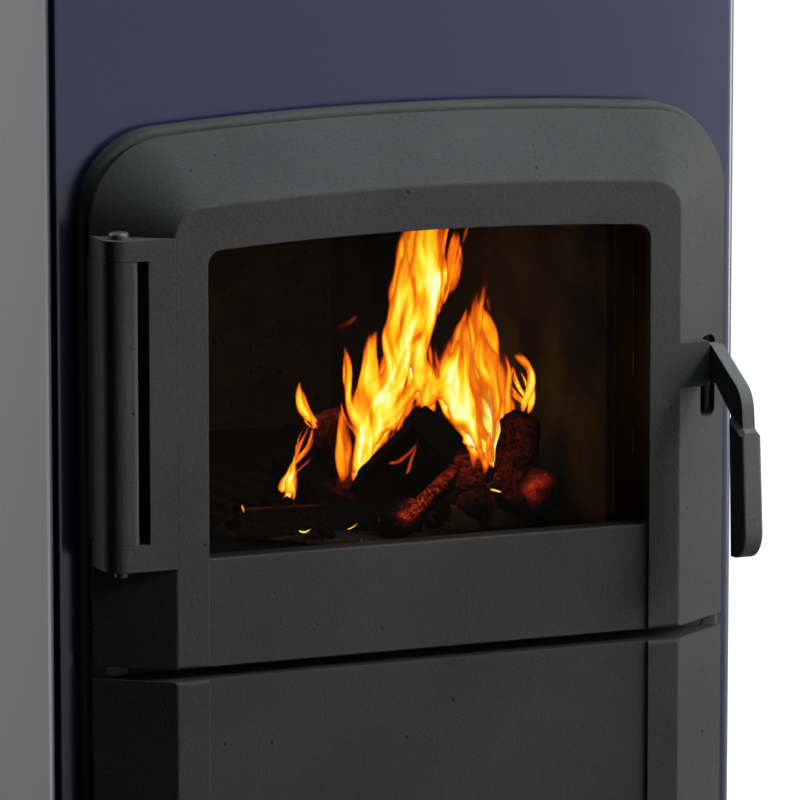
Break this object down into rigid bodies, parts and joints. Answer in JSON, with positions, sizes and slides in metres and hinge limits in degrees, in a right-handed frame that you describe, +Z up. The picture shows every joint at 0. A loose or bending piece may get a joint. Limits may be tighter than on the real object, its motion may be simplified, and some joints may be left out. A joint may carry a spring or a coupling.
{
  "type": "workshop stove",
  "caption": "Free-standing solid-fuel stove: enamelled casing, cast doors on pin hinges, glazed fire door, latch handles, air slide, brick-lined firebox, ash pan and top flue collar.",
  "frame": {"origin": "on the floor, under the middle of the stove's outer box", "axes": "+Z up, +X to the right when facing the doors, +Y from the doors to the back"},
  "size_m": [0.444, 0.6752, 0.8899],
  "materials": {
    "front_enamel": "glossy blue-grey enamel",
    "side_enamel": "satin grey enamel",
    "black_cast": "fine sand-cast grain under matte stove black",
    "handle_cast": "cast, smoothed, stove black",
    "black_sheet": "matte heat-proof black",
    "firebox_steel": "mill-scale steel plate",
    "firebrick": "pressed firebrick, pitted and sooty",
    "rope_seal": "knitted glass rope",
    "window_glass": "clear heat-proof ceramic glass",
    "blackened_steel": "oil-blackened steel",
    "bright_steel": "zinc-plated steel"
  },
  "bodies": {
    "stove_body": {"base_frame": "black_sheet", "levelling_feet": "bright_steel", "firebox_floor": "firebox_steel", "firebox_side_left": "firebox_steel", "firebox_side_right": "firebox_steel", "firebox_rear": "firebox_steel", "firebox_roof": "firebox_steel", "firebox_front": "black_sheet", "casing_side_left": "side_enamel", "casing_side_right": "side_enamel", "front_panel": "front_enamel", "rear_panel": "side_enamel", "casing_spacers": "black_sheet", "casing_screws": "bright_steel", "top_plate": "black_cast", "flue_collar": "black_cast", "flue_collar_screws": "bright_steel", "door_frame": "black_cast", "frame_bolts": "blackened_steel", "frame_nuts": "bright_steel", "latch_bars": "bright_steel", "firebricks_left": "firebrick", "firebricks_right": "firebrick", "firebricks_rear": "firebrick", "bed_plate": "black_cast", "bed_rails": "firebox_steel", "grate": "black_cast", "baffle_slab": "firebrick"},
    "upper_door": {"fire_door": "black_cast", "fire_door_seal": "rope_seal", "fire_door_hinge_pin": "blackened_steel", "fire_door_pivot_pin": "blackened_steel", "window_gasket": "rope_seal", "window_glass": "window_glass", "window_clips": "black_sheet", "window_clip_screws": "bright_steel"},
    "upper_latch": {"fire_door_handle": "handle_cast"},
    "lower_door": {"ash_door": "black_cast", "ash_door_seal": "rope_seal", "ash_door_hinge_pin": "blackened_steel", "ash_door_pivot_pin": "blackened_steel", "heat_shield": "firebox_steel", "heat_shield_screws": "bright_steel", "air_slide_guides": "black_sheet", "air_slide_rivets": "bright_steel"},
    "lower_latch": {"ash_door_handle": "handle_cast"},
    "air_control": {"air_slide": "black_sheet", "air_slide_knob": "bright_steel"},
    "ash_drawer": {"ash_pan": "firebox_steel", "ash_pan_grip": "firebox_steel"}
  },
  "joints": [
    {"name": "fire_door_swing", "type": "hinge", "parent": "stove_body", "child": "upper_door", "pos_m": [-0.1918, -0.27225, 0.5134], "axis": [0, 0, -1], "range_deg": [0, 115]},
    {"name": "fire_door_latch", "type": "hinge", "parent": "upper_door", "child": "upper_latch", "pos_m": [0.1853, -0.27425, 0.5167], "axis": [-1, 0, 0], "range_deg": [-4, 35]},
    {"name": "ash_door_swing", "type": "hinge", "parent": "stove_body", "child": "lower_door", "pos_m": [-0.1918, -0.27225, 0.1973], "axis": [0, 0, -1], "range_deg": [0, 115]},
    {"name": "ash_door_latch", "type": "hinge", "parent": "lower_door", "child": "lower_latch", "pos_m": [0.1853, -0.27425, 0.213], "axis": [-1, 0, 0], "range_deg": [-4, 35]},
    {"name": "air_slide_travel", "type": "slide", "parent": "lower_door", "child": "air_control", "axis": [1, 0, 0], "range_m": [0, 0.015]},
    {"name": "ash_pan_travel", "type": "slide", "parent": "stove_body", "child": "ash_drawer", "axis": [0, -1, 0], "range_m": [0, 0.03]}
  ]
}
